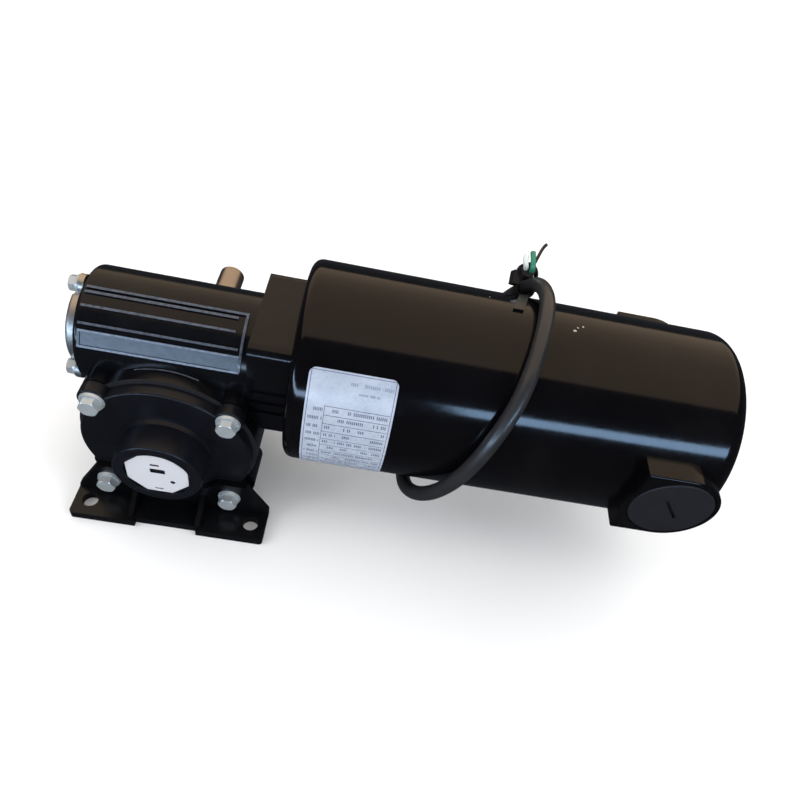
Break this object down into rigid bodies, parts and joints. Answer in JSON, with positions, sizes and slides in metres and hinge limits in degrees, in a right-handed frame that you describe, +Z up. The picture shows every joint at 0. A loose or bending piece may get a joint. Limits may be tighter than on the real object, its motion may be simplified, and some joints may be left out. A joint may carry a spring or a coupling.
{
  "type": "right-angle gearmotor",
  "caption": "Right-angle worm gearmotor on a foot bracket, with a long round motor body, keyed output shaft, slotted brush caps and a supply cord wound round the motor.",
  "frame": {"origin": "midway between the two foot holes, on the underside of the foot bracket", "axes": "+X along the motor from the gearhead to the motor's rear end, +Y along the output shaft towards its free end, +Z up"},
  "size_m": [0.3416, 0.1698, 0.1501],
  "materials": {
    "aluminium": "turned",
    "bearing_steel": "ground",
    "black_paint": "gloss",
    "brass": "drawn",
    "bronze": "cut bronze",
    "carbon": "pressed carbon",
    "copper": "enamelled copper",
    "cord_jacket": "satin",
    "dark_plastic": "moulded",
    "ferrite": "ground ferrite",
    "gasket": "fibre",
    "label": "printed",
    "laminations": "stacked",
    "lead_black": "satin",
    "lead_green": "satin",
    "lead_white": "satin",
    "nylon_black": "satin",
    "rubber": "matt",
    "steel": "ground",
    "white_plastic": "moulded",
    "zinc": "bright zinc plate"
  },
  "bodies": {
    "stator": {"gear_housing": "black_paint", "cover_gasket": "gasket", "gear_cover": "black_paint", "boss_plug": "white_plastic", "foot_bracket": "black_paint", "cover_screws": "zinc", "bearing_cap": "aluminium", "bearing_cap_screws": "zinc", "nose_bearing": "bearing_steel", "drive_bearing": "bearing_steel", "input_seal": "rubber", "output_bearing_front": "bearing_steel", "output_bearing_rear": "bearing_steel", "output_seal": "rubber", "motor_shell": "black_paint", "field_magnets": "ferrite", "face_screws": "zinc", "rear_endshield": "black_paint", "rear_bearing": "bearing_steel", "through_bolts": "zinc", "brush_holder_front": "brass", "brush_holder_back": "brass", "brush_spring_front": "steel", "brush_spring_back": "steel", "brush_cap_front": "dark_plastic", "brush_cap_back": "dark_plastic", "nameplate": "label", "cord": "cord_jacket", "cord_grommet": "rubber", "cable_tie": "nylon_black", "lead_black": "lead_black", "lead_white": "lead_white", "lead_green": "lead_green"},
    "armature": {"worm_shaft": "steel", "armature_core": "laminations", "armature_winding": "copper", "commutator": "copper"},
    "output": {"output_shaft": "steel", "worm_wheel": "bronze", "wheel_key": "steel"},
    "brush_front": {"brush_front": "carbon"},
    "brush_back": {"brush_back": "carbon"}
  },
  "joints": [
    {"name": "armature_spin", "type": "hinge", "parent": "stator", "child": "armature", "pos_m": [-0.0022, 0.0575, 0.0882], "axis": [1, 0, 0], "continuous": true},
    {"name": "output_spin", "type": "hinge", "parent": "stator", "child": "output", "pos_m": [-0.0022, 0.0575, 0.0482], "axis": [0, 1, 0], "continuous": true},
    {"name": "brush_front_slide", "type": "slide", "parent": "stator", "child": "brush_front", "axis": [0, -1, 0], "range_m": [0, 0.008], "stiffness_N_per_m": 150, "springref_m": -0.01, "deforming": ["brush_spring_front"]},
    {"name": "brush_back_slide", "type": "slide", "parent": "stator", "child": "brush_back", "axis": [0, 1, 0], "range_m": [0, 0.008], "stiffness_N_per_m": 150, "springref_m": -0.01, "deforming": ["brush_spring_back"]}
  ],
  "couplings": [
    {"joint": "output_spin", "follows": "armature_spin", "ratio": -0.033333}
  ]
}
